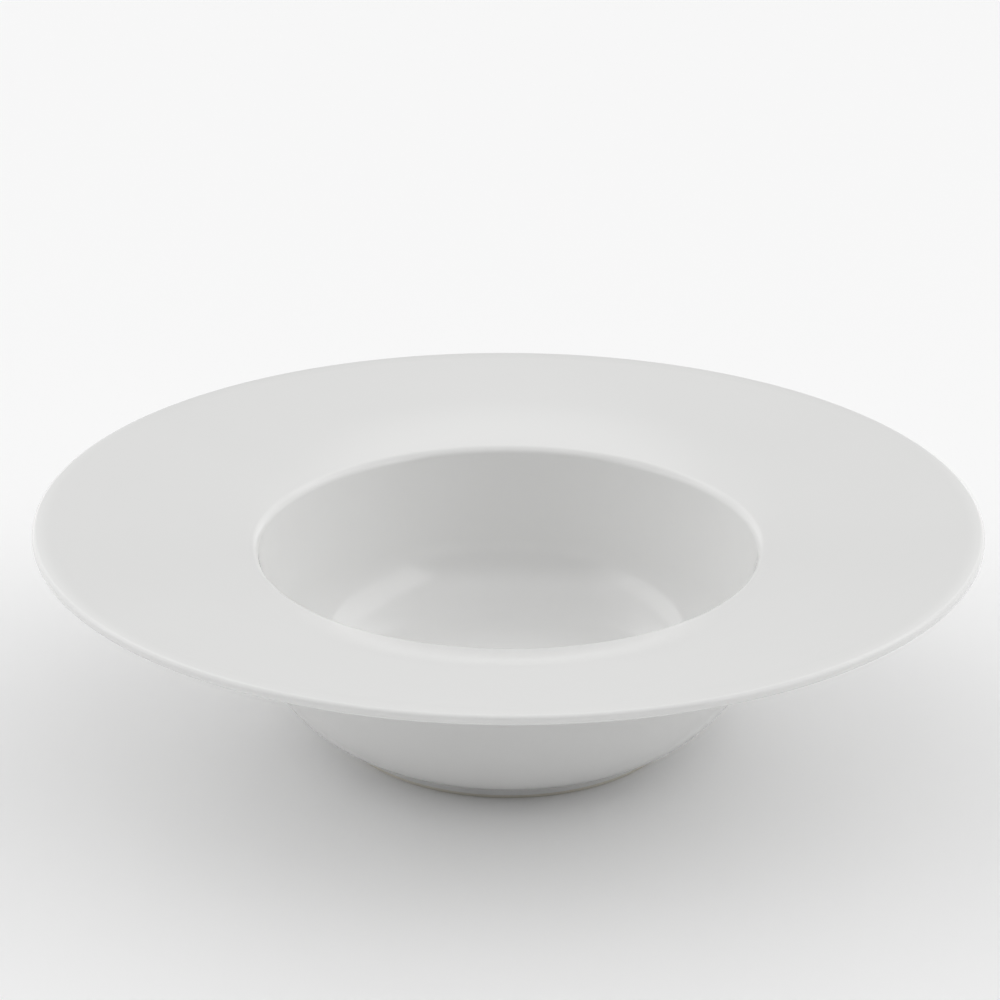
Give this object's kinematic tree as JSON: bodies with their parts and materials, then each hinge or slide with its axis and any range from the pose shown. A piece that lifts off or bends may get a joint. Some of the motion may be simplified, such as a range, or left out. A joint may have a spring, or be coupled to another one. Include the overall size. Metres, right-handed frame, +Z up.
{
  "type": "pasta bowl",
  "caption": "Round wide-rimmed pasta bowl of white glazed porcelain, with a gently sloped broad rim, a deep well and a low foot ring, for serving food.",
  "frame": {"origin": "on the table under the middle of the bowl, in the plane of the foot ring's standing face", "axes": "+Z up along the axis that the bowl is turned about; X and Y are any two level directions, as the bowl is round"},
  "size_m": [0.3, 0.3, 0.078],
  "materials": {
    "bare_porcelain": "fine matt biscuit porcelain, ground smooth where it stands",
    "white_glaze": "glossy clear glaze over white porcelain"
  },
  "bodies": {
    "root": {"porcelain_body": "bare_porcelain", "glaze_coat": "white_glaze", "base_glaze": "white_glaze"}
  },
  "joints": []
}
